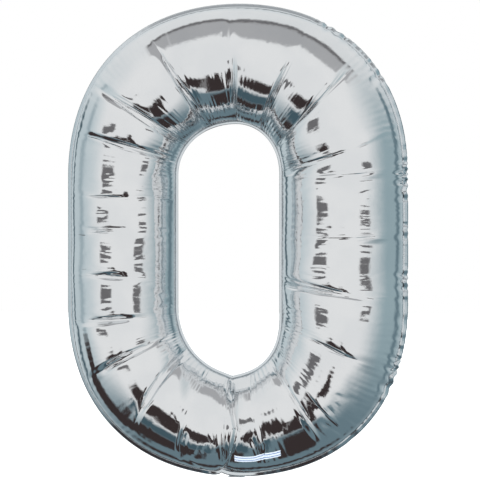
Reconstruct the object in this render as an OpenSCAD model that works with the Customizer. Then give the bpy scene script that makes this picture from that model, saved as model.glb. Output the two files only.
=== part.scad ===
// Foil number balloon, numeral zero, inflated.
// Two film panels are welded face to face round the outside and round the hole, and gas holds them
// apart as a ring-shaped tube. A flat filling neck leaves the bottom of the outer weld and carries a
// self-sealing valve made of two thin films. The neck folds on a crease, which is the origin.
// Millimetres. +Z is up the numeral, -Y is its front, and the numeral lies in the XZ plane.

/* [Numeral] */
// Width of the inflated tube's outline, without the weld band
body_w = 611; // [560:1:680]
// Height of the inflated tube's outline, without the weld band
body_h = 850; // [760:1:1000]
// Width across the inflated tube of one stroke, and its depth front to back
stroke_w = 200; // [160:1:230]

/* [Film and welds] */
// Thickness of one panel
film_t = 0.5; // [0.3:0.1:1]
// Width of the flat weld band outside the tube
outer_band_w = 7; // [4:1:12]
// Width of the flat weld band inside the hole
inner_band_w = 10; // [5:1:14]

/* [Filling neck] */
// Width of the neck across its two side welds
neck_w = 30; // [24:1:40]
// Length of the neck from its crease to its mouth
neck_l = 62; // [40:1:90]
// Radius of the film bend in the crease
crease_r = 0.5; // [0.4:0.1:0.6]
// Gap between the crease's centre line and the edge of the weld band
crease_gap = 1; // [0.9:0.1:1.5]

/* [Valve] */
// Width of each valve film
valve_w = 24; // [18:1:28]
// Reach of the valve above the weld band, inside the tube
valve_l = 118; // [80:1:150]
// Thickness of one valve film
valve_t = 0.2; // [0.1:0.05:0.2]
// Height of the open channel between the two films
channel_t = 0.1; // [0.1:0.05:0.1]
// Width of each of the channel's side seals
side_seal_w = 3; // [2:0.5:4]
// Distance that the valve films stop short of the neck's mouth
valve_setback = 6; // [2:1:15]

/* [Printed mark] */
// Length of the mark along the bottom stroke
print_l = 80; // [50:1:100]
// Height of the mark, measured round the tube
print_h = 14; // [10:1:24]
// Thickness of the ink
print_t = 0.15; // [0.1:0.05:0.3]
// Direction that the mark faces, in degrees below level
print_dip = 50; // [40:1:60]
// Turn of the mark's middle round the bottom bend, in degrees towards +X
print_turn = 9; // [0:1:20]

/* [Hidden] */
$fn = 96;

tube_r = stroke_w / 2;
bend_r = (body_w - stroke_w) / 2;
limb_l = body_h - body_w;
band_t = 2 * film_t;
stack_t = 2 * valve_t + channel_t;
tube_bottom_z = crease_gap + outer_band_w;
low_bend_z = tube_bottom_z + body_w / 2;
high_bend_z = low_bend_z + limb_l;
hole_r = bend_r - tube_r;
valve_top_z = tube_bottom_z + valve_l;
cut = 3 * tube_r;

// Stands a flat drawing of the numeral up in the XZ plane, with its drawn side facing the front.
module upright() {
    rotate([90, 0, 0]) children();
}

// Puts a copy at each bend: the children sit round the bend's centre and fill its upper half.
module at_bends() {
    translate([0, 0, high_bend_z]) children();
    translate([0, 0, low_bend_z]) rotate([0, 180, 0]) children();
}

// Half of the tube's wall in section, drawn at its distance from the bend's centre. It ends on the
// weld band's face.
module panel_section() {
    intersection() {
        translate([bend_r, 0]) difference() {
            circle(r = tube_r);
            circle(r = tube_r - film_t);
        }
        translate([0, band_t / 2]) square([cut * 2, cut]);
    }
}

// One whole panel, from its section: two half-turn bends and the two straight limbs between them.
// It bulges to the front.
module panel() {
    at_bends() upright() rotate_extrude(angle = 180) panel_section();
    for (side = [0, 1]) {
        translate([0, 0, low_bend_z]) mirror([side, 0, 0])
            linear_extrude(limb_l) mirror([0, 1]) panel_section();
    }
}

// A flat shape with straight sides and round ends, r away from the line between the bends' centres.
module slot_outline(r) {
    for (z = [low_bend_z, high_bend_z]) {
        translate([0, z]) circle(r = r);
    }
    translate([-r, low_bend_z]) square([2 * r, limb_l]);
}

// A flat ring of the thickness of the weld band, between two such outlines.
module band_ring(outer_r, inner_r) {
    upright() translate([0, 0, -band_t / 2]) linear_extrude(band_t) difference() {
        slot_outline(outer_r);
        slot_outline(inner_r);
    }
}

// A flat film standing in the XZ plane: w wide, from z0 to z1, and from y0 to y1 deep.
module film(w, z0, z1, y0, y1) {
    translate([-w / 2, y0, z0]) cube([w, y1 - y0, z1 - z0]);
}

// Lays what hangs below the crease back behind the numeral, as the neck is kept once it is filled.
module folded_back() {
    rotate([90, 0, 0]) children();
}

module front_panel() {
    color("#d9dbde") panel();
}

module back_panel() {
    color("#cfd2d6") mirror([0, 1, 0]) panel();
}

module outer_weld_band() {
    color("#c3c8cc") difference() {
        band_ring(bend_r + tube_r + outer_band_w, bend_r + tube_r - film_t);
        film(valve_w, 0, tube_bottom_z + tube_r / 2, -stack_t / 2, stack_t / 2);
    }
}

module inner_weld_band() {
    color("#c3c8cc") band_ring(hole_r + film_t, hole_r - inner_band_w);
}

// The front ply of the neck, with the roll of film that makes the crease.
module neck_front_ply() {
    color("#d0d3d7") folded_back() {
        rotate([0, 90, 0]) cylinder(r = crease_r, h = neck_w, center = true, $fn = 48);
        film(neck_w, -neck_l, -crease_r / 2, -stack_t / 2 - film_t, -stack_t / 2);
    }
}

// The back ply, which is welded to the front ply along both sides of the valve.
module neck_back_ply() {
    side_w = (neck_w - valve_w) / 2;
    color("#cbced2") folded_back() {
        film(neck_w, -neck_l, -crease_gap, stack_t / 2, stack_t / 2 + film_t);
        for (side = [-1, 1]) {
            translate([side * (neck_w - side_w) / 2, 0, 0])
                film(side_w, -neck_l, -crease_gap, -stack_t / 2, stack_t / 2);
        }
    }
}

// One valve film between two heights. The films stand either side of the open channel.
module valve_film(z0, z1, side) {
    y_in = side * channel_t / 2;
    y_out = side * stack_t / 2;
    film(valve_w, z0, z1, min(y_in, y_out), max(y_in, y_out));
}

// The two seals that close the channel along its sides.
module side_seals(z0, z1) {
    for (side = [-1, 1]) {
        translate([side * (valve_w - side_seal_w) / 2, 0, 0])
            film(side_seal_w, z0, z1, -channel_t / 2, channel_t / 2);
    }
}

module valve_front_film() {
    color("#e8eef2") valve_film(crease_gap, valve_top_z, -1);
}

module valve_back_film() {
    color("#dfe8ee") {
        valve_film(crease_gap, valve_top_z, 1);
        side_seals(crease_gap, valve_top_z);
    }
}

// Heat-proof ink that keeps the channel from being welded shut where the outer weld crosses it.
module valve_release_coat() {
    color("#5b7fa8")
        film(valve_w - 2 * side_seal_w, crease_gap, tube_bottom_z, -channel_t / 2, channel_t / 2);
}

module valve_mouth_front_film() {
    color("#e8eef2") folded_back() valve_film(valve_setback - neck_l, -crease_gap, -1);
}

module valve_mouth_back_film() {
    color("#dfe8ee") folded_back() {
        valve_film(valve_setback - neck_l, -crease_gap, 1);
        side_seals(valve_setback - neck_l, -crease_gap);
    }
}

// A plain printed mark on the front of the bottom stroke.
module printed_mark() {
    print_angle = print_l / (bend_r + tube_r * cos(print_dip)) * 180 / PI;
    half_h = print_h / tube_r * 90 / PI;
    color("#2f6db5") translate([0, 0, low_bend_z]) upright()
        rotate([0, 0, print_turn - 90 - print_angle / 2])
            rotate_extrude(angle = print_angle) intersection() {
                translate([bend_r, 0]) difference() {
                    circle(r = tube_r + print_t);
                    circle(r = tube_r);
                }
                translate([bend_r, 0]) polygon([
                    [0, 0],
                    for (a = [-half_h, half_h]) cut * [cos(90 - print_dip + a), sin(90 - print_dip + a)]
                ]);
            }
}

front_panel();
back_panel();
outer_weld_band();
inner_weld_band();
neck_front_ply();
neck_back_ply();
valve_front_film();
valve_back_film();
valve_release_coat();
valve_mouth_front_film();
valve_mouth_back_film();
printed_mark();
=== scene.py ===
"""Looks of the foil number balloon, numeral zero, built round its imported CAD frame.

The tube starts as a smooth form: a ring of varying width with a rounded section, as gas shapes it.
Stiff film can't follow that form. It lies in nearly straight facets between folds that run across it,
and stays smooth only near the outer weld, where it is tight. So the form is cut into facets at the folds
of a table, and creases, ripples and gathers are laid on it. The back sheet has its own folds.
"""

import math

import bpy
import numpy as np
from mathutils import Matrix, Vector
from mathutils.bvhtree import BVHTree


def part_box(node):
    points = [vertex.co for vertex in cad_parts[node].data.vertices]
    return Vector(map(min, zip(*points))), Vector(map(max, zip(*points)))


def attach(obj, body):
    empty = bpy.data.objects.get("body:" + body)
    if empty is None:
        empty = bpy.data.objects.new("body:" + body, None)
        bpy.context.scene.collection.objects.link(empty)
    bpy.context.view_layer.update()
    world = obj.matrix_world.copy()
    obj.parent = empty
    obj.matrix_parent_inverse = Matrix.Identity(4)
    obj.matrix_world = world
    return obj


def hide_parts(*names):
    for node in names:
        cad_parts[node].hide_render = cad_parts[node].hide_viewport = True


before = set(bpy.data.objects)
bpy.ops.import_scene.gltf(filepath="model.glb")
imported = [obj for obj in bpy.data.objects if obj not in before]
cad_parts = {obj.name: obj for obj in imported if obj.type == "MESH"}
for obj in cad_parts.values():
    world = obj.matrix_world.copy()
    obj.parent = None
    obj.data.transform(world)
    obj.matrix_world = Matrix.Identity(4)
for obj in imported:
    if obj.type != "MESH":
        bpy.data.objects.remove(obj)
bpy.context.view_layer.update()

# Slack when a point is taken to be on a straight side, in metres
ROUNDING = 0.001


def straight_clearance(node):
    """Distance from the middle to the inner edge of a stadium-shaped band, along its straight sides."""
    low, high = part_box(node)
    middle = (low.z + high.z) / 2
    straight = high.z - middle - high.x
    points = [v.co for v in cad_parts[node].data.vertices]
    return min(abs(p.x) for p in points if abs(p.z - middle) < straight + ROUNDING)


# ---------------------------------------------------------------- sizes, all in metres
BAND_LOW, BAND_HIGH = (np.array(corner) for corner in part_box("outer_weld_band"))
BODY_LOW, BODY_HIGH = (np.array(corner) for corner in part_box("front_panel"))
NECK_LOW, NECK_HIGH = (np.array(corner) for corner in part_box("neck_front_ply"))
MARK_LOW, MARK_HIGH = (np.array(corner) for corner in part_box("printed_mark"))
OUTER_BAND = float(BAND_HIGH[0] - BODY_HIGH[0])
STROKE = float(-2 * BODY_LOW[1])
INNER_BAND = float(BODY_HIGH[0]) - STROKE - straight_clearance("inner_weld_band")
FILM = 0.0004
WELD = 2 * FILM
FILM_ACROSS = 1.4 * STROKE

# The inflated ring's centre line, from the CAD: round ends of BEND_R joined by straight sides of LIMB
BEND_R = float(BODY_HIGH[0]) - STROKE / 2
LIMB = float(BODY_HIGH[2] - BODY_LOW[2] - BODY_HIGH[0] + BODY_LOW[0])
MIDDLE_Z = float(BODY_HIGH[2] + BODY_LOW[2]) / 2
RING = 2 * LIMB + 2 * math.pi * BEND_R
KNOTS = np.cumsum([0, LIMB / 2, math.pi * BEND_R, LIMB, math.pi * BEND_R, LIMB / 2])

# The smooth form: distance from the line between the bends' centres to the hole's weld on each side,
# how much fuller the shoulders are than round ends, the dip of the hole's edge at the cleft and its
# reach either way, and the section's arc and depth
HOLE_RIGHT = 0.42 * STROKE
HOLE_TOP = 0.485 * STROKE
HOLE_LEFT = 0.555 * STROKE
HOLE_BOTTOM = 0.635 * STROKE
SHOULDER = 0.045 * STROKE
HOLE_NOTCH = 0.0065
HOLE_NOTCH_REACH = 0.030
SECTION_ARC = math.radians(78)
SECTION_DEPTH = 0.90

# The finished sheets: rows and columns, how far columns crowd towards the folds, how far the weld bands
# lap over the sheets, and the share of the inner band that shows
COLUMNS = 1240
ROWS = 36
BAND_ROWS = 4
CROWDING = 0.6
WELD_LAP = 0.12
BARE_BAND = 0.45


# ---------------------------------------------------------------- places on the ring
def top(degrees):
    """Place round the top bend. Places are lengths along the ring's centre line, counter-clockwise from
    the middle of the right side."""
    return LIMB / 2 + math.radians(degrees) * BEND_R


def bottom(degrees):
    """Place round the bottom bend, whose lowest point is at -90 degrees."""
    return -LIMB / 2 + math.radians(degrees) * BEND_R


def right(share):
    """Place on the right side's straight part: 1 is its top and -1 its bottom."""
    return LIMB / 2 * share


def left(share):
    """Place on the left side's straight part: 1 is its top and -1 its bottom."""
    return LIMB / 2 + math.pi * BEND_R + LIMB / 2 * (1 - share)


# Folds across the film, in order round the ring: (place at the hole, place at the outer weld, start and
# end from hole to outer weld as 0 to 1, strength, number of creases in the bundle)
FOLDS = (
    (right(0.0), right(0.05), 0.38, 0.72, 0.8, 4),
    (right(0.85), top(2), 0.40, 0.70, 0.7, 4),
    (top(2), top(18), 0.02, 0.68, 1.0, 5),
    (top(34), top(44), 0.02, 0.79, 1.6, 7),
    (top(58), top(63), 0.05, 0.70, 1.0, 4),
    (top(89), top(89.5), 0.02, 0.60, 0.7, 3),
    (top(118), top(122), 0.02, 0.77, 1.4, 6),
    (top(149), top(147), 0.10, 0.77, 1.2, 6),
    (top(166), top(165), 0.15, 0.76, 0.9, 5),
    (left(0.60), left(0.68), 0.40, 0.76, 0.8, 5),
    (left(0.11), left(0.11), 0.42, 0.72, 0.7, 4),
    (left(-0.58), left(-0.52), 0.42, 0.76, 0.9, 4),
    (bottom(-172), bottom(-175), 0.38, 0.74, 0.9, 4),
    (bottom(-157), bottom(-152), 0.25, 0.73, 1.0, 6),
    (bottom(-139), bottom(-127), 0.03, 0.64, 1.2, 7),
    (bottom(-112), bottom(-109), 0.58, 0.86, 0.8, 4),
    (bottom(-95), bottom(-93), 0.02, 0.90, 0.6, 4),
    (bottom(-78), bottom(-80), 0.55, 0.85, 0.9, 6),
    (bottom(-55), bottom(-57), 0.03, 0.62, 1.0, 6),
    (bottom(-45), bottom(-49), 0.60, 0.90, 0.7, 3),
    (bottom(-22), bottom(-23), 0.30, 0.68, 0.9, 5),
    (right(-0.62), right(-0.98), 0.02, 0.70, 1.2, 8),
)
BACK_FOLDS = (
    (right(-0.2), right(-0.1), 0.36, 0.72, 0.7, 4),
    (right(0.5), right(0.6), 0.38, 0.74, 0.8, 4),
    (top(14), top(9), 0.02, 0.70, 1.0, 5),
    (top(36), top(41), 0.02, 0.78, 1.3, 6),
    (top(66), top(60), 0.02, 0.72, 1.1, 5),
    (top(94), top(97), 0.02, 0.70, 0.9, 4),
    (top(121), top(116), 0.02, 0.78, 1.3, 6),
    (top(146), top(152), 0.05, 0.74, 1.1, 5),
    (top(171), top(168), 0.15, 0.74, 0.8, 4),
    (left(0.3), left(0.25), 0.40, 0.74, 0.8, 5),
    (left(-0.45), left(-0.55), 0.38, 0.76, 0.9, 4),
    (bottom(-170), bottom(-167), 0.20, 0.74, 0.9, 5),
    (bottom(-144), bottom(-149), 0.02, 0.72, 1.2, 6),
    (bottom(-118), bottom(-113), 0.02, 0.76, 1.0, 5),
    (bottom(-90), bottom(-92), 0.02, 0.80, 1.4, 7),
    (bottom(-62), bottom(-66), 0.02, 0.72, 1.0, 5),
    (bottom(-35), bottom(-31), 0.02, 0.74, 1.2, 6),
    (bottom(-12), bottom(-14), 0.20, 0.70, 0.8, 4),
    (right(-0.9), right(-0.8), 0.05, 0.70, 1.0, 6),
)
# Single long creases: (place, share across) of each end, and depth in millimetres
CREASES = (
    (bottom(-130), 0.56, bottom(-99), 0.61, 1.6),
    (bottom(-130), 0.60, bottom(-100), 0.66, 1.0),
    (bottom(-97), 0.60, bottom(-101), 0.44, 1.4),
    (bottom(-97), 0.61, bottom(-107), 0.82, 1.8),
    (bottom(-107), 0.82, bottom(-100), 1.0, 1.6),
    (bottom(-83), 0.62, bottom(-57), 0.50, 1.0),
    (bottom(-53), 0.52, bottom(-44), 0.70, 1.2),
    (bottom(-44), 0.70, bottom(-40), 0.62, 1.2),
    (bottom(-40), 0.62, bottom(-36), 0.78, 1.0),
    (bottom(-40), 0.80, bottom(-30), 0.66, 1.0),
    (right(-0.95), 0.10, right(-0.45), 0.24, 1.2),
    (right(0.95), 0.06, top(8), 0.30, 1.2),
    (left(-0.7), 0.26, left(-1.0), 0.08, 1.2),
    (bottom(-175), 0.24, left(-0.95), 0.06, 1.0),
    (left(0.2), 0.20, left(0.1), 0.10, 0.8),
    (top(150), 0.10, top(140), 0.30, 0.8),
    (top(70), 0.12, top(66), 0.30, 0.8),
)
# Patches of short gathers beside the crumple under the hole: (place, share across, direction of the row
# in degrees, half length and half width in metres)
GATHERS = (
    (bottom(-104), 0.68, -40, 0.026, 0.007),
    (bottom(-87), 0.62, -35, 0.015, 0.011),
    (bottom(-92), 0.72, 10, 0.012, 0.012),
)
# Short creases scattered over each sheet: (count, share across from and to, reach along the ring,
# middle)
SCATTERS = (
    (50, 0.10, 0.65, RING, 0.0),
    (45, 0.20, 0.70, LIMB / 2, right(0)),
    (45, 0.20, 0.70, LIMB / 2, left(0)),
    (100, 0.0, 0.17, RING, 0.0),
)
# The deep cleft under the hole: (share across, place) along it, (share across, depth) along it, and its
# widths to the left and right
CLEFT = (
    (0.0, bottom(-95)),
    (0.25, bottom(-92)),
    (0.5, bottom(-88)),
    (0.75, bottom(-91)),
    (1.0, bottom(-95)),
)
CLEFT_DEPTH = ((0.0, 0.004), (0.10, 0.011), (0.35, 0.012), (0.6, 0.009), (0.85, 0.007), (1.0, 0.006))
CLEFT_WIDTHS = (0.0025, 0.016)
# Places of the dip in the hole's edge, of the notch in the outer weld, and of the neck
HOLE_NOTCH_PLACE = bottom(-93)
NOTCH_PLACE = bottom(-95)
NECK_PLACE = bottom(-90)

# Facets: how flat they are, their unevenness, their bulge as a share of their length and at most, over
# what share of the film before and after a fold's start they set in, and how near the folds they are even
FACET = 0.92
UNEVEN = 0.0022
PUFF = 0.030
PUFF_MAX = 0.0035
RISE_BEFORE = 0.16
RISE_AFTER = 0.10
EVEN_EDGE = 0.12

# Stretches of the way from 0 to 1 that a feature holds: it starts, is full, starts to fade and is gone
FACET_REACH = (0.0, 0.10, 0.62, 0.88)
UNEVEN_REACH = (0.0, 0.10, 0.66, 0.92)
CREASE_REACH = (-0.02, 0.16, 0.80, 1.04)
RELIEF_REACH = (0.0, 0.05, 0.95, 1.0)

# Creases, in metres. A pair is the range of a random value; a bundle's crease starts and ends within
# these shares of its fold
VALLEY_DEPTH = 0.0016
VALLEY_WIDTH = 0.010
LONG_WIDTH = 0.003
BUNDLE_DEPTH = 0.0016
BUNDLE_WIDTH = 0.0060
BUNDLE_START = (-0.02, 0.45)
BUNDLE_END = (-0.02, 0.40)
BUNDLE_STRENGTH = (0.4, 1.3)
BUNDLE_CREASE = (0.0015, 0.0032)
BUNDLE_NARROWING = 0.7
SHORT_RUN = (0.05, 0.16)
SHORT_LEAN = 0.010
SHORT_DEPTH = (0.0002, 0.0009)
SHORT_WIDTH = (0.0012, 0.0025)
PHASE = (0, 6.28)

# Ripples: height, the shares across that are near the hole and near the outer weld, strength over the
# whole film and near the weld, (pitch, strength near the hole) of each kind, and how far noise bends them.
# A noise is (size along in metres, size across as a share, number of waves)
RIPPLE = 0.00013
NEAR_HOLE = (0.12, 0.34)
NEAR_WELD = (0.66, 0.9)
RIPPLE_ALL_OVER = 0.35
RIPPLE_NEAR_WELD = 0.8
RIPPLES = ((0.0075, 1.8), (0.0120, 2.8))
RIPPLE_BEND = 3.0
RIPPLE_BEND_NOISE = (0.25, 1.2, 20)
RIPPLE_PATCH_NOISE = (0.06, 0.5, 30)
SWELL = 0.0006
SWELL_NOISE = (0.10, 0.5, 40)
GATHER_HEIGHT = 0.0009
GATHER_PITCH = 0.0070

# The outer weld: the waves round the ring by which its lumps wander, the share across over which the
# sheets follow it, height, pitch and wander of its lumps, the part of the ring that has them, its notch at
# the cleft with the widths to the left and right, how near the neck it is flat, and its band's lean and
# flutter
SEAM_TURNS = (7, 11, 17, 23)
SEAM_REACH = (0.80, 1.0)
LUMP = 0.0032
LUMP_PITCH = 0.019
LUMP_WANDER = 1.3
LUMP_STRENGTH = (0.05, 1.3)
SMALL_LUMP = 0.0003
SMALL_LUMP_PITCH = 0.011
SMALL_LUMP_WANDER = 2.1
LUMPS_FROM = bottom(-60)
LUMPS_TO = top(75)
NOTCH = 0.006
NOTCH_WIDTHS = (0.004, 0.009)
NECK_FLAT = (0.016, 0.05)
BAND_LEAN = 0.75
BAND_FLUTTER = 0.5

# Seeds of the random draws
FRONT_SEED = 5
BACK_SEED = 6
SEAM_SEED = 17
NECK_SEED = 5

# Neck and printed strip. The strip is MARK_SHAPE of its length high
NECK_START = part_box("neck_back_ply")[0].y
NECK_SIDE_WELD = 0.1 * NECK_HIGH[0] * 2
NECK_GAP = -NECK_LOW[2] / 3
NECK_PUFF = 0.0012
NECK_RAGGED = 0.0003
NECK_TEETH = 9
NECK_FILM = 0.7 * FILM
NECK_COLUMNS = 41
NECK_ROWS = 84
NECK_WAVES = 7
NECK_WAVE_LEAN = (-0.5, 0.5)
NECK_WAVE_COUNT = (0.5, 2.2)
NECK_SMOOTH = (0.02, 0.25)
RAGGED_FROM = 0.8
ROLL_ROWS = 9
ROLL_DEGREES = (80, 260)
INK = 0.00012
MARK_DIP = math.radians(50)
MARK_TILT = math.radians(8)
MARK_DROP = 0.006
MARK_SHAPE = 0.17
MARK_COLUMNS = 69
MARK_ROWS = 15

# Finish: colours, roughness, and heights of the bumps in metres
FOIL = (0.83, 0.845, 0.855)
FOIL_SHADE = (0.79, 0.81, 0.825)
FRONT_ROUGH = 0.055
BACK_ROUGH = 0.07
FOIL_GRAIN = 0.000018
FOIL_CRINKLE = 0.00022
SEAM_GATHER = 0.00028
SEAM_GATHER_PITCH = 0.011
SEAM_GATHER_WANDER = 9.0
WELD_GREY = (0.76, 0.81, 0.84)
WELD_ROUGH = 0.14
WELD_GRAIN = 0.000002
WELD_PATTERN = 0.00006
NECK_ROUGH = (0.16, 0.32)
NECK_CREASE = 0.00035
NECK_GRAIN = 0.00003
CLEAR = (0.86, 0.9, 0.92)
CLEAR_PALE = (0.93, 0.96, 0.97)
CLEAR_ROUGH = (0.12, 0.22)
CLEAR_WAVE = 0.0001
INK_GROUND = (0.74, 0.82, 0.92)
INK_LINE = (0.06, 0.16, 0.42)
INK_ROUGH = (0.3, 0.45)
INK_GRAIN = 0.00002
LINE_PLACE = 0.45
LINE_EDGE = (0.10, 0.14)
STRIP_SPECKLE = 300
RELEASE_SPECKLE = 500
RELEASE_GROUND = (0.10, 0.22, 0.42)
RELEASE_LINE = (0.08, 0.18, 0.36)
FLOOR = (0.93, 0.93, 0.93)
FLOOR_PALE = (0.97, 0.97, 0.97)
FLOOR_ROUGH = 0.8

# What the foil reflects. A direction is the angle away from the camera's side in radians, 0 straight
# towards it, and the clock direction seen from there in degrees, 0 right and 90 up. The sides, the part
# below and the part behind set in between two angles.
STUDIO_WHITE = (0.86, 0.86, 0.86)
STUDIO_LEFT = (0.56, 0.64, 0.67)
STUDIO_RIGHT = (0.33, 0.43, 0.465)
STUDIO_LOW = (0.15, 0.22, 0.255)
STUDIO_BEHIND = (0.62, 0.68, 0.71)
STUDIO_DARK = (0.045, 0.034, 0.034)
STUDIO_BLUE = (0.28, 0.36, 0.40)
STUDIO_TEAL = (0.065, 0.11, 0.135)
STUDIO_GREY = (0.17, 0.165, 0.17)
STUDIO_SOFT = (0.44, 0.44, 0.45)
SIDES_ANGLE = (0.8, 1.7)
BELOW_ANGLE = (0.7, 1.5)
BEHIND_ANGLE = (2.25, 2.8)
# Panels and flags round the studio: (colour, start, end and softness of the angle, clock direction, half
# width)
STUDIO_PANELS = (
    (STUDIO_SOFT, 1.14, 1.60, 0.05, 84, 40),
    (STUDIO_GREY, 1.58, 1.72, 0.05, 84, 38),
    (STUDIO_DARK, 0.30, 0.98, 0.05, -78, 12),
    (STUDIO_DARK, 0.42, 0.80, 0.05, -118, 28),
    (STUDIO_LOW, 0.98, 1.40, 0.06, -80, 24),
    (STUDIO_TEAL, 0.90, 1.30, 0.08, -118, 20),
    (STUDIO_GREY, 0.72, 1.04, 0.05, -4, 5),
    (STUDIO_LOW, 2.10, 2.30, 0.08, 0, 34),
    (STUDIO_GREY, 0.44, 0.92, 0.05, 180, 8),
    (STUDIO_BLUE, 1.70, 1.84, 0.16, 180, 24),
    (STUDIO_TEAL, 2.28, 2.42, 0.06, 184, 26),
    (STUDIO_DARK, 1.30, 1.80, 0.06, -122, 18),
    (STUDIO_DARK, 1.58, 1.98, 0.05, -146, 22),
    (STUDIO_DARK, 1.05, 1.75, 0.06, -76, 10),
    (STUDIO_DARK, 2.14, 2.34, 0.06, -96, 34),
)

# Lamp, whose softness is its width in radians, floor and camera
KEY_POWER = 3.2
KEY_SOFTNESS = 1.0
KEY_DIRECTION = (0.25, 0.35, -1)
KEY_AWAY = 8 * STROKE
FLOOR_HALF = 60 * STROKE
FLOOR_DROP = 1.2 * STROKE
SENSOR = 36
CAMERA_TURN = math.radians(6)
CAMERA_AWAY = 15 * STROKE
CAMERA_ASIDE = 0.0073
CAMERA_MARGIN = 480 / 473


# ---------------------------------------------------------------- the smooth form
def smooth_step(value, start, end):
    t = np.clip((value - start) / (end - start), 0, 1)
    return t * t * (3 - 2 * t)


def plateau(value, start, full, fade, end):
    """1 between full and fade, and 0 before the start and after the end."""
    return smooth_step(value, start, full) * (1 - smooth_step(value, fade, end))


def lopsided(x, low_width, high_width):
    """A sharp peak of 1 at 0 that falls off over one width below 0 and over the other above it."""
    return np.exp(-np.where(x < 0, -x / low_width, x / high_width))


def ring_gap(a, b):
    """Signed distance along the ring from b to a."""
    return (a - b + RING / 2) % RING - RING / 2


def closed_quads(rows, columns):
    """Quads of a grid whose last column joins its first, facing the front."""
    here = np.arange(columns)
    after = (here + 1) % columns
    row = np.arange(rows - 1)[:, None] * columns
    quad = [row + here, row + columns + here, row + columns + after, row + after]
    return np.stack([corner.ravel() for corner in quad], 1)


def ring_line(place):
    """Outward angle at a place along the ring, and the height that it is measured from."""
    turn = np.interp(place % RING, KNOTS, np.array([0, 0, 1, 1, 2, 2]) * math.pi)
    start = np.interp(place % RING, KNOTS, np.array([0, 1, 1, -1, -1, 0]) * LIMB / 2)
    return turn, MIDDLE_Z + start


def smooth_form(place, across):
    """Point of the smooth front sheet. across runs from 0 at the hole's weld to 1 at the outer weld."""
    turn, centre = ring_line(place)
    nx, nz = np.cos(turn), np.sin(turn)
    side = np.where(nx > 0, HOLE_RIGHT, HOLE_LEFT)
    end = np.where(nz > 0, HOLE_TOP, HOLE_BOTTOM)
    inner = side * nx**2 + end * nz**2
    notch_gap = ring_gap(place, HOLE_NOTCH_PLACE)
    inner = inner + HOLE_NOTCH * lopsided(notch_gap, HOLE_NOTCH_REACH, HOLE_NOTCH_REACH)
    outer = BODY_HIGH[0] + SHOULDER * np.sin(2 * turn) ** 2
    angle = (2 * across - 1) * SECTION_ARC
    reach = (inner + outer) / 2 + (outer - inner) / 2 * np.sin(angle) / math.sin(SECTION_ARC)
    deep = (np.cos(angle) - math.cos(SECTION_ARC)) / (1 - math.cos(SECTION_ARC))
    depth = SECTION_DEPTH * (outer - inner) / 2 * deep
    return np.stack([nx * reach, -depth, centre + nz * reach], -1)


def fold_columns(folds):
    """For each column of a sheet, the fold before it and its share of the way to the next one."""
    starts = np.array([(fold[0] + fold[1]) / 2 for fold in folds])
    facets = (np.roll(starts, -1) - starts) % RING
    counts = np.round(facets / RING * COLUMNS).astype(int)
    share = np.concatenate([np.arange(count) / count for count in counts])
    share = share - CROWDING * np.sin(2 * math.pi * share) / (2 * math.pi)
    return np.repeat(np.arange(len(folds)), counts), share


def facet_lift(folds, index, share, across, bulge):
    """How far the facets bulge, sag and waver, from where their folds start."""
    after = (index + 1) % len(folds)
    starts = np.array([fold[2] for fold in folds])
    start = starts[index] + share * (starts[after] - starts[index])
    uneven = np.random.default_rng(len(folds)).normal(0, UNEVEN, (2, len(folds)))[:, index]
    uneven *= smooth_step(share * (1 - share), 0.0, EVEN_EDGE)
    wave = uneven[0] * np.sin(math.pi * across) + uneven[1] * np.sin(2 * math.pi * across)
    wave *= plateau(across, *UNEVEN_REACH)
    return (bulge + wave) * smooth_step(across, start - RISE_BEFORE, start + RISE_AFTER)


def faceted_form(folds):
    """The form with facets between the folds, as a grid, with the place and share of each point."""
    across = np.linspace(0, 1, ROWS + 1)[:, None]
    inner = np.array([fold[0] for fold in folds])
    outer = np.array([fold[1] for fold in folds])
    lines = inner + ring_gap(outer, inner) * across
    corners = smooth_form(lines, across)
    index, share = fold_columns(folds)
    after = (index + 1) % len(folds)
    gap = (lines[:, after] - lines[:, index]) % RING
    place = lines[:, index] + share * gap
    flat = corners[:, index] + share[:, None] * (corners[:, after] - corners[:, index])
    facet = FACET * plateau(across, *FACET_REACH)
    grid = smooth_form(place, across)
    grid += facet[..., None] * (flat - grid)
    bulge = 4 * share * (1 - share) * facet * np.minimum(PUFF * gap, PUFF_MAX)
    lift = facet_lift(folds, index, share, across, bulge)
    return grid + form_normals(grid) * lift[..., None], place, across + 0 * place


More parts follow.
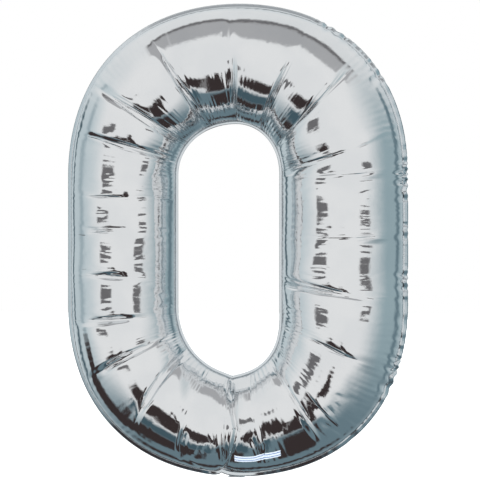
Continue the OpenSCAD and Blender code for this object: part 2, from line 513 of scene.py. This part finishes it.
# ---------------------------------------------------------------- creases
class Relief:
    """Height of the creases over the form, at each point of the grid."""

    def __init__(self, place, longer, across, seed):
        self.place = place
        self.longer = longer
        self.across = across
        self.rng = np.random.default_rng(seed)
        self.height = np.zeros_like(place)

    def from_point(self, place, share):
        """Distances along and across the film from a point, in metres."""
        return ring_gap(self.place, place) * self.longer, (self.across - share) * FILM_ACROSS

    def crease(self, start, end, depth, width):
        """One groove from start to end, each (place along the ring, share across)."""
        x, y = self.from_point(*start)
        dx = ring_gap(end[0], start[0]) * self.longer
        dy = (end[1] - start[1]) * FILM_ACROSS
        length = np.sqrt(dx**2 + dy**2)
        t = (x * dx + y * dy) / length**2
        away = abs(x * dy - y * dx) / length
        self.height -= depth * plateau(t, *CREASE_REACH) * np.exp(-away / width)

    def fold(self, inner, outer, start, end, strength, count):
        """A bundle of creases across the film, in a wide valley between two facets."""
        def place_at(share):
            return inner + ring_gap(outer, inner) * share

        self.crease((place_at(start), start), (place_at(end), end), VALLEY_DEPTH * strength, VALLEY_WIDTH)
        for _ in range(count):
            low = start + self.rng.uniform(*BUNDLE_START) * (end - start)
            high = end - self.rng.uniform(*BUNDLE_END) * (end - start)
            shift_low, shift_high = self.rng.normal(0, BUNDLE_WIDTH, 2)
            first = (place_at(low) + shift_low, low)
            last = (place_at(high) + shift_high * BUNDLE_NARROWING, high)
            depth = BUNDLE_DEPTH * strength * self.rng.uniform(*BUNDLE_STRENGTH)
            self.crease(first, last, depth, self.rng.uniform(*BUNDLE_CREASE))

    def scatter(self, count, low, high, reach, middle):
        """Short creases within reach of a place on the ring, most of them across the film."""
        for _ in range(count):
            place = middle + self.rng.uniform(-reach, reach)
            share = self.rng.uniform(low, high)
            run = self.rng.uniform(*SHORT_RUN)
            lean = self.rng.normal(0, SHORT_LEAN)
            depth = self.rng.uniform(*SHORT_DEPTH)
            width = self.rng.uniform(*SHORT_WIDTH)
            self.crease((place, share), (place + lean, share + run), depth, width)

    def smooth_noise(self, step_along, step_across, count):
        """Even noise of about unit size, with features of these sizes along and across the film."""
        total = np.zeros_like(self.place)
        for _ in range(count):
            turns = round(self.rng.normal(0, RING / step_along / 2))
            rise = self.rng.normal(0, 0.5 / step_across)
            phase = self.rng.uniform(*PHASE)
            total += np.sin(2 * math.pi * (turns * self.place / RING + rise * self.across) + phase)
        return total * math.sqrt(2 / count)

    def ripples(self, height, length, where):
        """Fine ripples that run straight across the film."""
        turns = round(RING / length)
        bend = RIPPLE_BEND * self.smooth_noise(*RIPPLE_BEND_NOISE)
        strength = 0.55 + 0.45 * self.smooth_noise(*RIPPLE_PATCH_NOISE)
        phase = 2 * math.pi * turns * self.place / RING + bend
        self.height += height * where * strength * np.sin(phase)

    def gathers(self, place, share, lean, length, width):
        """A row of short parallel ripples. lean is the row's direction in degrees."""
        x, y = self.from_point(place, share)
        run, rise = math.cos(math.radians(lean)), math.sin(math.radians(lean))
        along = x * run + y * rise
        aside = y * run - x * rise
        within = np.exp(-((along / length) ** 4) - (aside / width) ** 4)
        self.height += GATHER_HEIGHT * within * np.sin(2 * math.pi * along / GATHER_PITCH)

    def cleft(self):
        """The deep fold under the hole. Its left lip is steeper."""
        share, place = np.array(CLEFT).T
        depth = np.interp(self.across, *np.array(CLEFT_DEPTH).T)
        x = ring_gap(self.place, np.interp(self.across, share, place)) * self.longer
        self.height -= depth * lopsided(x, *CLEFT_WIDTHS)


def sheet_relief(place, longer, across, folds, seed, has_cleft):
    """Height of a whole sheet's creases and ripples. It is 0 at both welds."""
    relief = Relief(place, longer, across, seed)
    for fold in folds:
        relief.fold(*fold)
    if has_cleft:
        relief.cleft()
        for patch in GATHERS:
            relief.gathers(*patch)
        for place_a, share_a, place_b, share_b, depth in CREASES:
            relief.crease((place_a, share_a), (place_b, share_b), depth / 1000, LONG_WIDTH)
    for patch in SCATTERS:
        relief.scatter(*patch)
    near_hole = 1 - smooth_step(across, *NEAR_HOLE)
    near_weld = smooth_step(across, *NEAR_WELD)
    for pitch, hole_strength in RIPPLES:
        where = RIPPLE_ALL_OVER + hole_strength * near_hole + RIPPLE_NEAR_WELD * near_weld
        relief.ripples(RIPPLE, pitch, where)
    relief.height += SWELL * relief.smooth_noise(*SWELL_NOISE)
    return relief.height * plateau(across, *RELIEF_REACH)


def off_neck(place):
    """0 where the neck leaves the outer weld, which is flat there, and 1 away from it."""
    return smooth_step(abs(ring_gap(place, NECK_PLACE)), *NECK_FLAT)


def ring_wave(place, pitch, bend):
    """A wave of about this pitch that closes on itself round the ring."""
    return np.sin(2 * math.pi * round(RING / pitch) * place / RING + bend)


def seam_gathers(place):
    """How far the outer weld moves towards the back and outwards. It is most uneven on the right."""
    rng = np.random.default_rng(SEAM_SEED)
    waves = [(turns, rng.uniform(*PHASE)) for turns in SEAM_TURNS]

    def wander(start):
        turned = 2 * math.pi * (place - start) / RING
        return sum(np.sin(turns * turned + phase) for turns, phase in waves)

    middle, reach = (LUMPS_TO + LUMPS_FROM) / 2, (LUMPS_TO - LUMPS_FROM) / 2
    on_right = 1 - smooth_step(abs(ring_gap(place, middle)), 0.8 * reach, reach)
    lumps = ring_wave(place, LUMP_PITCH, LUMP_WANDER * wander(0))
    lumps *= np.clip(0.65 + 0.4 * wander(RING / 7), *LUMP_STRENGTH)
    small = ring_wave(place, SMALL_LUMP_PITCH, SMALL_LUMP_WANDER * wander(0))
    back = LUMP * on_right * lumps + SMALL_LUMP * (0.2 + 0.8 * on_right) * small
    pulled_in = 0.5 * LUMP * on_right * lumps**2 * off_neck(place)
    pulled_in += NOTCH * lopsided(ring_gap(place, NOTCH_PLACE), *NOTCH_WIDTHS)
    return back * off_neck(place), -pulled_in


# ---------------------------------------------------------------- the four sheets
BACKWARD = np.array([0, 1, 0])


def outward(curve):
    """Level directions square to a closed curve in the XZ plane, away from its inside."""
    step = np.roll(curve, -1, 0) - np.roll(curve, 1, 0)
    normal = np.stack([step[:, 2], 0 * step[:, 0], -step[:, 0]], 1)
    return normal / np.linalg.norm(normal, axis=1)[:, None]


def form_normals(grid):
    """Normals of the front sheet's grid, out of the balloon."""
    along = np.roll(grid, -1, 1) - np.roll(grid, 1, 1)
    across = np.gradient(grid, axis=0)
    normal = np.cross(across, along)
    return normal / np.linalg.norm(normal, axis=-1)[..., None]


def balloon_sheet(folds, seed, is_front):
    """Grid of points of one sheet, with the place and share of each point. The seams of both agree."""
    form, place, across = faceted_form(folds)
    turn, centre = ring_line(place)
    from_centre = np.hypot(form[..., 0], form[..., 2] - centre)
    longer = np.where(turn % math.pi == 0, 1, from_centre / BEND_R)
    height = sheet_relief(place, longer, across, folds, seed, is_front)
    grid = form + form_normals(form) * height[..., None]
    if not is_front:
        grid[..., 1] *= -1
    back, out = seam_gathers(place[-1])
    shift = outward(form[-1]) * out[:, None] + BACKWARD * back[:, None]
    return grid + smooth_step(across, *SEAM_REACH)[..., None] * shift, place, across


def weld_bands(front):
    """Grids of the outer and the inner weld band, from the front sheet's edges."""
    grid, place = front[0], front[1][-1]
    form = faceted_form(FOLDS)[0]
    steps = np.linspace(-WELD_LAP, 1, BAND_ROWS + 1)[:, None, None]
    lean = BAND_LEAN * OUTER_BAND * off_neck(place) + BAND_FLUTTER * seam_gathers(place)[0]
    outer_step = OUTER_BAND * outward(form[-1]) + BACKWARD * lean[:, None]
    inner_step = BARE_BAND * INNER_BAND * outward(form[0])
    places = place + 0 * steps[..., 0]
    across = steps[..., 0] + 0 * places
    outer = (grid[-1] + steps * outer_step, places, across)
    return outer, (grid[0] - steps[::-1] * inner_step, places, across)


def balloon_sheets():
    """Both sheets and both weld bands: (grid of points, place and share of each point)."""
    front = balloon_sheet(FOLDS, FRONT_SEED, is_front=True)
    back = balloon_sheet(BACK_FOLDS, BACK_SEED, is_front=False)
    outer, inner = weld_bands(front)
    return {"front": front, "back": back, "outer": outer, "inner": inner}


# ---------------------------------------------------------------- pieces
def new_piece(name, co, faces, smooth=True):
    """A mesh object of these points and faces."""
    mesh = bpy.data.meshes.new(name)
    mesh.from_pydata(np.asarray(co).tolist(), [], np.asarray(faces).tolist())
    mesh.update()
    mesh.polygons.foreach_set("use_smooth", np.full(len(mesh.polygons), smooth))
    piece = bpy.data.objects.new(name, mesh)
    bpy.context.scene.collection.objects.link(piece)
    return piece


def thicken(piece, thickness, offset):
    """Gives a sheet its thickness: offset -1 puts it behind the sheet, 0 on both sides of it."""
    solid = piece.modifiers.new("thickness", "SOLIDIFY")
    solid.thickness = thickness
    solid.offset = offset


def keep_field(piece, name, values):
    """Keeps a value per point for the material."""
    field = piece.data.attributes.new(name, "FLOAT", "POINT")
    field.data.foreach_set("value", values.astype(np.float32))


def sheet_piece(name, sheet, node, material):
    """One sheet or weld band of the balloon, in place of its CAD node."""
    grid, place, across = BALLOON[sheet]
    quads = closed_quads(*grid.shape[:2])
    piece = new_piece(name, grid.reshape(-1, 3), quads[:, ::-1] if sheet == "back" else quads)
    keep_field(piece, "along", place.ravel())
    keep_field(piece, "across", across.ravel())
    if sheet in ("front", "back"):
        thicken(piece, FILM, -1)
    else:
        thicken(piece, WELD, 0)
    finish_piece(piece, "balloon", material, node)


def finish_piece(piece, body, material, node):
    """Gives the piece its material, hangs it on its body's empty and hides the CAD node that it stands
    for.
    """
    piece.data.materials.append(material)
    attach(piece, body)
    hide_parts(node)


def grid_faces(rows, columns):
    """Quads of a grid of points stored row by row."""
    first = (np.arange(rows - 1)[:, None] * columns + np.arange(columns - 1)).ravel()
    return np.stack([first, first + 1, first + columns + 1, first + columns], 1)


def neck_wrinkle(x, y, side):
    """The neck film's soft wrinkles, about 0 to 1 high, which fade towards the crease."""
    rng = np.random.default_rng(NECK_SEED + side)
    total = 0 * x
    for _ in range(NECK_WAVES):
        lean = rng.uniform(*NECK_WAVE_LEAN)
        count = rng.uniform(*NECK_WAVE_COUNT)
        phase = rng.uniform(*PHASE)
        total += np.sin(math.pi * count * (x + lean * y) / NECK_HIGH[0] + phase)
    height = 0.5 + total / (NECK_WAVES + 1)
    return height * smooth_step(y / NECK_HIGH[1], *NECK_SMOOTH)


def crease_roll(columns, free):
    """The roll of film at the neck's crease."""
    turn = np.radians(np.linspace(*ROLL_DEGREES, ROLL_ROWS))[:, None] + 0 * columns
    roll_r = FILM / 2 + free * NECK_GAP
    return np.stack([columns + 0 * turn, roll_r * np.cos(turn), roll_r * np.sin(turn)], -1)


def neck_sheet(name, node, side, material):
    """One ply of the neck, from the crease to the mouth. side is -1 for the lower ply, which starts
    with the roll of film at the crease, and 1 for the upper one."""
    half, length = NECK_HIGH[0], NECK_HIGH[1]
    columns = np.linspace(-half, half, NECK_COLUMNS)
    x, y = np.meshgrid(columns, np.linspace(0 if side < 0 else NECK_START, length, NECK_ROWS))
    free = smooth_step(half - abs(x), NECK_SIDE_WELD, 2 * NECK_SIDE_WELD)
    lift = FILM / 2 + free * (NECK_GAP + NECK_PUFF * neck_wrinkle(x, y, side))
    ragged = NECK_RAGGED * np.sin(NECK_TEETH * x / half) * smooth_step(y / length, RAGGED_FROM, 1)
    co = np.stack([x, y + ragged, side * lift], -1)
    if side < 0:
        co = np.concatenate([crease_roll(columns, free[0]), co])
    faces = grid_faces(len(co), len(columns))
    piece = new_piece(name, co.reshape(-1, 3), faces if side > 0 else faces[:, ::-1])
    thicken(piece, NECK_FILM, 0)
    keep_field(piece, "across", (abs(co[..., 0]) / half).ravel())
    finish_piece(piece, "neck", material, node)


def printed_strip(material):
    """A plain strip of ink that lies on the film's folds, where the CAD mark is."""
    grid = BALLOON["front"][0]
    tree = BVHTree.FromPolygons(grid.reshape(-1, 3).tolist(), closed_quads(*grid.shape[:2]).tolist())
    facing = Vector((0, -math.cos(MARK_DIP), -math.sin(MARK_DIP)))
    up = Vector((0, -math.sin(MARK_DIP), math.cos(MARK_DIP)))
    middle = Vector((MARK_LOW + MARK_HIGH) / 2)
    half_l = (MARK_HIGH[0] - MARK_LOW[0]) / 2
    half_h = MARK_SHAPE * half_l
    points, across = [], []
    for v in np.linspace(-half_h, half_h, MARK_ROWS):
        for u in np.linspace(-half_l, half_l, MARK_COLUMNS):
            rise = math.tan(MARK_TILT) * u + u * u / (BAND_HIGH[0] * 2)
            start = middle + Vector((u, 0, 0)) + up * (v + rise - MARK_DROP) + facing * STROKE
            hit, normal, _, _ = tree.ray_cast(start, -facing)
            if normal.dot(facing) < 0:
                normal = -normal
            points.append(hit + normal * INK)
            across.append(v / half_h)
    faces = grid_faces(MARK_ROWS, MARK_COLUMNS)[:, ::-1]
    piece = new_piece("printed_strip", [tuple(p) for p in points], faces)
    thicken(piece, INK, 0)
    keep_field(piece, "across", np.array(across))
    finish_piece(piece, "balloon", material, "printed_mark")


# ---------------------------------------------------------------- materials
def node_tree(name, metallic=0.0):
    """A new material with its tree and its Principled shader."""
    material = bpy.data.materials.new(name)
    material.use_nodes = True
    shader = material.node_tree.nodes["Principled BSDF"]
    shader.inputs["Metallic"].default_value = metallic
    return material, material.node_tree, shader


def plug(tree, value, socket):
    """Links an output to a socket, or sets the socket to a number or colour."""
    if isinstance(value, bpy.types.NodeSocket):
        tree.links.new(value, socket)
    else:
        socket.default_value = value


def calc(tree, operation, *values):
    """The result of a Math node."""
    node = tree.nodes.new("ShaderNodeMath")
    node.operation = operation
    for value, socket in zip(values, node.inputs):
        plug(tree, value, socket)
    return node.outputs[0]


def ramp(tree, value, low, high, to_low=0.0, to_high=1.0):
    """Maps low..high to to_low..to_high, with smooth ends."""
    node = tree.nodes.new("ShaderNodeMapRange")
    node.interpolation_type = "SMOOTHSTEP"
    for k, number in enumerate((value, low, high, to_low, to_high)):
        plug(tree, number, node.inputs[k])
    return node.outputs[0]


def mix_colour(tree, share, one, two):
    """One colour where share is 0, and the other where it is 1."""
    node = tree.nodes.new("ShaderNodeMix")
    node.data_type = "RGBA"
    plug(tree, share, node.inputs[0])
    for colour, socket in ((one, node.inputs[6]), (two, node.inputs[7])):
        plug(tree, (*colour, 1) if isinstance(colour, tuple) else colour, socket)
    return node.outputs[2]


def darker(colour, factor):
    """The colour times a factor below 1."""
    return tuple(factor * part for part in colour)


def noise(tree, scale, detail, stretch=None):
    """Noise fixed to the object, with scale in features per metre."""
    place = tree.nodes.new("ShaderNodeTexCoord").outputs["Object"]
    if stretch:
        mapping = tree.nodes.new("ShaderNodeMapping")
        mapping.inputs["Scale"].default_value = stretch
        tree.links.new(place, mapping.inputs["Vector"])
        place = mapping.outputs[0]
    node = tree.nodes.new("ShaderNodeTexNoise")
    node.inputs["Scale"].default_value = scale
    node.inputs["Detail"].default_value = detail
    tree.links.new(place, node.inputs["Vector"])
    return node.outputs["Fac"]


def field(tree, name):
    """A value that keep_field has kept."""
    node = tree.nodes.new("ShaderNodeAttribute")
    node.attribute_name = name
    return node.outputs["Fac"]


def bump(tree, height, distance, below=None):
    """A bump of this real height in metres, on top of the one below."""
    node = tree.nodes.new("ShaderNodeBump")
    node.inputs["Strength"].default_value = 1.0
    node.inputs["Distance"].default_value = distance
    plug(tree, height, node.inputs["Height"])
    if below is not None:
        plug(tree, below, node.inputs["Normal"])
    return node.outputs[0]


def foil_material(name, colour, shade, rough):
    """Metallised film: mirror-like, with faint haze, rolling grain and fine gathers at the outer weld."""
    material, tree, shader = node_tree(name, metallic=1.0)
    tint = mix_colour(tree, ramp(tree, noise(tree, 14, 3), 0.35, 0.65), colour, shade)
    plug(tree, tint, shader.inputs["Base Color"])
    haze = ramp(tree, noise(tree, 38, 4), 0.3, 0.7, rough, rough * 1.5)
    plug(tree, haze, shader.inputs["Roughness"])
    lines = calc(tree, "MULTIPLY", field(tree, "along"), 2 * math.pi / SEAM_GATHER_PITCH)
    bend = calc(tree, "MULTIPLY", noise(tree, 26, 2), SEAM_GATHER_WANDER)
    waves = calc(tree, "SINE", calc(tree, "ADD", lines, bend))
    near_weld = ramp(tree, field(tree, "across"), 0.72, 1.0)
    patchy = ramp(tree, noise(tree, 11, 2), 0.40, 0.62)
    gathers = calc(tree, "MULTIPLY", calc(tree, "MULTIPLY", waves, near_weld), patchy)
    grain = bump(tree, noise(tree, 420, 2), FOIL_GRAIN)
    crinkle = bump(tree, noise(tree, 70, 4), FOIL_CRINKLE, grain)
    plug(tree, bump(tree, gathers, SEAM_GATHER, crinkle), shader.inputs["Normal"])
    return material


def weld_material(name, colour, rough):
    """Two films pressed together: duller, with the faint pattern of the welding jaw."""
    material, tree, shader = node_tree(name, metallic=1.0)
    tint = mix_colour(tree, noise(tree, 30, 3), colour, darker(colour, 0.9))
    plug(tree, tint, shader.inputs["Base Color"])
    plug(tree, ramp(tree, noise(tree, 90, 3), 0.3, 0.7, rough, rough * 1.4), shader.inputs["Roughness"])
    grain = bump(tree, noise(tree, 300, 2), WELD_GRAIN)
    plug(tree, bump(tree, noise(tree, 40, 2), WELD_PATTERN, grain), shader.inputs["Normal"])
    return material


def neck_material():
    """The neck's film, creased along its length and pressed flat along its side welds."""
    material, tree, shader = node_tree("neck_film", metallic=1.0)
    side = ramp(tree, field(tree, "across"), 0.78, 0.82)
    plug(tree, mix_colour(tree, side, FOIL, WELD_GREY), shader.inputs["Base Color"])
    plug(tree, ramp(tree, side, 0.0, 1.0, *NECK_ROUGH), shader.inputs["Roughness"])
    creases = bump(tree, noise(tree, 160, 3, (1.0, 0.25, 1.0)), NECK_CREASE)
    plug(tree, bump(tree, noise(tree, 900, 1), NECK_GRAIN, creases), shader.inputs["Normal"])
    return material


def clear_film_material():
    """The valve's clear film, slightly hazy."""
    material, tree, shader = node_tree("clear_film")
    shader.inputs["Transmission Weight"].default_value = 0.85
    shader.inputs["IOR"].default_value = 1.5
    tint = mix_colour(tree, noise(tree, 60, 2), CLEAR, CLEAR_PALE)
    plug(tree, tint, shader.inputs["Base Color"])
    plug(tree, ramp(tree, noise(tree, 120, 2), 0.3, 0.7, *CLEAR_ROUGH), shader.inputs["Roughness"])
    plug(tree, bump(tree, noise(tree, 200, 2), CLEAR_WAVE), shader.inputs["Normal"])
    return material


def ink_material(name, ground, line, speckle):
    """Printed ink: a pale ground with two thin lines along it, slightly uneven."""
    material, tree, shader = node_tree(name)
    across = calc(tree, "ABSOLUTE", field(tree, "across"))
    off_line = calc(tree, "ABSOLUTE", calc(tree, "SUBTRACT", across, LINE_PLACE))
    on_line = ramp(tree, off_line, *LINE_EDGE, 1.0, 0.0)
    patches = ramp(tree, noise(tree, speckle, 3), 0.45, 0.6)
    worn = mix_colour(tree, patches, ground, darker(ground, 0.93))
    plug(tree, mix_colour(tree, on_line, worn, line), shader.inputs["Base Color"])
    plug(tree, ramp(tree, noise(tree, speckle, 2), 0.3, 0.7, *INK_ROUGH), shader.inputs["Roughness"])
    plug(tree, bump(tree, noise(tree, 2 * speckle, 2), INK_GRAIN), shader.inputs["Normal"])
    return material


def paint_node(node, material):
    """Gives a CAD node that stays as it is its material."""
    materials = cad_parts[node].data.materials
    materials.clear()
    materials.append(material)


# ---------------------------------------------------------------- studio
def between(tree, value, low, high, soft):
    """1 between low and high, with soft edges."""
    rise = ramp(tree, value, low - soft, low + soft)
    fall = ramp(tree, value, high - soft, high + soft, 1.0, 0.0)
    return calc(tree, "MULTIPLY", rise, fall)


def studio_base(tree, angle, clock):
    """Pale in front and above, blue-grey at the sides and dark below."""
    up = calc(tree, "SINE", clock)
    to_right = ramp(tree, calc(tree, "COSINE", clock), -0.5, 0.5)
    colour = STUDIO_WHITE
    for other, angles, heights in (
        (mix_colour(tree, to_right, STUDIO_LEFT, STUDIO_RIGHT), SIDES_ANGLE, (0.15, 0.85, 1.0, 0.10)),
        (STUDIO_LOW, BELOW_ANGLE, (-0.15, -0.85)),
        (STUDIO_BEHIND, BEHIND_ANGLE, (-0.2, -0.9, 0.85, 0.25)),
    ):
        share = calc(tree, "MULTIPLY", ramp(tree, angle, *angles), ramp(tree, up, *heights))
        colour = mix_colour(tree, share, colour, other)
    return colour


def studio_panel(tree, angle, clock, low, high, soft, middle, half):
    """1 within a panel, with soft edges. It takes the direction and a row of STUDIO_PANELS."""
    away = calc(tree, "COSINE", calc(tree, "SUBTRACT", clock, math.radians(middle)))
    off = calc(tree, "ARCCOSINE", away)
    within = ramp(tree, off, math.radians(0.8 * half), math.radians(1.2 * half), 1.0, 0.0)
    return calc(tree, "MULTIPLY", between(tree, angle, low, high, soft), within)


def studio_world():
    """The soft studio that the foil reflects. The background itself is white."""
    world = bpy.data.worlds.new("studio")
    scene.world = world
    world.use_nodes = True
    tree = world.node_tree
    place = tree.nodes.new("ShaderNodeTexCoord").outputs["Generated"]
    parts = tree.nodes.new("ShaderNodeSeparateXYZ")
    tree.links.new(place, parts.inputs[0])
    x, y, z = parts.outputs
    angle = calc(tree, "ARCCOSINE", calc(tree, "MULTIPLY", y, -1.0))
    clock = calc(tree, "ARCTAN2", z, x)
    colour = studio_base(tree, angle, clock)
    for shade, *panel in STUDIO_PANELS:
        colour = mix_colour(tree, studio_panel(tree, angle, clock, *panel), colour, shade)
    seen = tree.nodes.new("ShaderNodeLightPath").outputs["Is Camera Ray"]
    colour = mix_colour(tree, seen, colour, (1.0, 1.0, 1.0))
    tree.links.new(colour, tree.nodes["Background"].inputs["Color"])


def floor_piece(height):
    """A plain pale floor, a little below the balloon, which floats."""
    corners = ((-1, -1), (1, -1), (1, 1), (-1, 1))
    co = [(FLOOR_HALF * x, FLOOR_HALF * y, height) for x, y in corners]
    floor = new_piece("floor", co, [(0, 1, 2, 3)], smooth=False)
    material, tree, shader = node_tree("floor_paint")
    plug(tree, mix_colour(tree, noise(tree, 3, 3), FLOOR, FLOOR_PALE), shader.inputs["Base Color"])
    shader.inputs["Roughness"].default_value = FLOOR_ROUGH
    floor.data.materials.append(material)
    floor.visible_glossy = False


def key_lamp():
    """A soft sun lamp, which isn't seen in the foil."""
    light = bpy.data.lights.new("key_lamp", "SUN")
    light.energy = KEY_POWER
    light.angle = KEY_SOFTNESS
    lamp = bpy.data.objects.new("key_lamp", light)
    scene.collection.objects.link(lamp)
    direction = Vector(KEY_DIRECTION).normalized()
    lamp.location = Vector((0, 0, BAND_HIGH[2] / 2)) - direction * KEY_AWAY
    lamp.rotation_mode = "QUATERNION"
    lamp.rotation_quaternion = direction.to_track_quat("-Z", "Y")
    lamp.visible_glossy = False


def place_camera():
    """Level, a little to the right of straight ahead, with the balloon filling the frame's height."""
    back = Vector((math.sin(CAMERA_TURN), -math.cos(CAMERA_TURN), 0))
    to_right = Vector((math.cos(CAMERA_TURN), math.sin(CAMERA_TURN), 0))
    target = Vector((BAND_LOW + BAND_HIGH) / 2) + to_right * CAMERA_ASIDE
    data = bpy.data.cameras.new("camera")
    data.sensor_width = SENSOR
    data.lens = SENSOR * CAMERA_AWAY / ((BAND_HIGH[2] - BAND_LOW[2]) * CAMERA_MARGIN)
    camera = bpy.data.objects.new("camera", data)
    scene.collection.objects.link(camera)
    camera.location = target + back * CAMERA_AWAY
    camera.rotation_mode = "QUATERNION"
    camera.rotation_quaternion = (-back).to_track_quat("-Z", "Y")
    scene.camera = camera


# ---------------------------------------------------------------- the scene
scene = bpy.context.scene
scene.view_settings.view_transform = "Standard"

BALLOON = balloon_sheets()

front_foil = foil_material("front_foil", FOIL, FOIL_SHADE, FRONT_ROUGH)
back_foil = foil_material("back_foil", FOIL, FOIL_SHADE, BACK_ROUGH)
weld_foil = weld_material("weld_foil", WELD_GREY, WELD_ROUGH)
neck_foil = neck_material()
clear_film = clear_film_material()
sheet_piece("front_foil", "front", "front_panel", front_foil)
sheet_piece("back_foil", "back", "back_panel", back_foil)
sheet_piece("outer_weld", "outer", "outer_weld_band", weld_foil)
sheet_piece("inner_weld", "inner", "inner_weld_band", weld_foil)
neck_sheet("neck_lower_film", "neck_front_ply", -1, neck_foil)
neck_sheet("neck_upper_film", "neck_back_ply", 1, neck_foil)
printed_strip(ink_material("strip_ink", INK_GROUND, INK_LINE, STRIP_SPECKLE))
for node in ("valve_front_film", "valve_back_film", "valve_mouth_front_film", "valve_mouth_back_film"):
    paint_node(node, clear_film)
release_ink = ink_material("release_ink", RELEASE_GROUND, RELEASE_LINE, RELEASE_SPECKLE)
paint_node("valve_release_coat", release_ink)

studio_world()
floor_piece(BAND_LOW[2] - FLOOR_DROP)
key_lamp()
place_camera()
